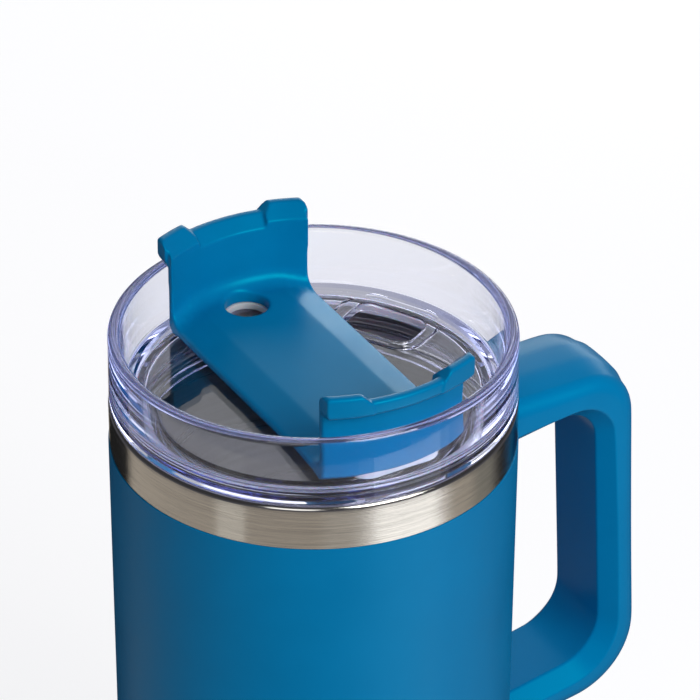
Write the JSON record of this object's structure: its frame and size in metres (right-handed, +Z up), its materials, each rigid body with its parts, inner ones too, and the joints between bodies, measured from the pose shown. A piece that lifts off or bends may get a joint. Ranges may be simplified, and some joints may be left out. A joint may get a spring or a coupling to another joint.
{
  "type": "insulated travel mug",
  "caption": "Double-walled steel travel mug with a narrow base, side handle, clear screw-in lid and a turning cover strip with straw hole and thumb lugs.",
  "frame": {"origin": "centre of the resting face, on the cup's axis", "axes": "+Z up along the cup's axis, +X towards the handle, +Y towards the straw hole with the cover as stored"},
  "size_m": [0.1399, 0.1006, 0.2315],
  "materials": {
    "powder_coat": "satin powder coat, saturated mid blue",
    "bare_steel": "fine circumferential brushing",
    "liner_steel": "spun and electropolished",
    "screw_steel": "turned",
    "moulded_blue": "fine satin moulded plastic, blue to match the coat",
    "clear_plastic": "clear moulded plastic with a faint violet tint in thick edges",
    "silicone": "translucent white silicone",
    "pad_rubber": "matt dark grey",
    "washer_plastic": "natural acetal"
  },
  "bodies": {
    "cup": {"outer_shell": "bare_steel", "colour_coat": "powder_coat", "inner_liner": "liner_steel", "base_plate": "bare_steel", "vacuum_plug": "bare_steel", "getter": "bare_steel", "base_pad": "pad_rubber", "handle": "moulded_blue", "upper_tab": "bare_steel", "lower_tab": "bare_steel", "handle_screws": "screw_steel", "screw_plugs": "moulded_blue"},
    "lid": {"lid_body": "clear_plastic", "lid_seal": "silicone", "hub_o_ring": "silicone"},
    "cover": {"cover": "moulded_blue", "straw_seal": "silicone", "closure_pad": "silicone", "hub_washer": "washer_plastic", "pivot_screw": "screw_steel"}
  },
  "joints": [
    {"name": "lid_lift", "type": "slide", "parent": "cup", "child": "lid", "axis": [0, 0, 1], "range_m": [0, 0.06]},
    {"name": "cover_turn", "type": "hinge", "parent": "lid", "child": "cover", "pos_m": [0, 0, 0.2], "axis": [0, 0, 1], "range_deg": [-61, 119]}
  ]
}
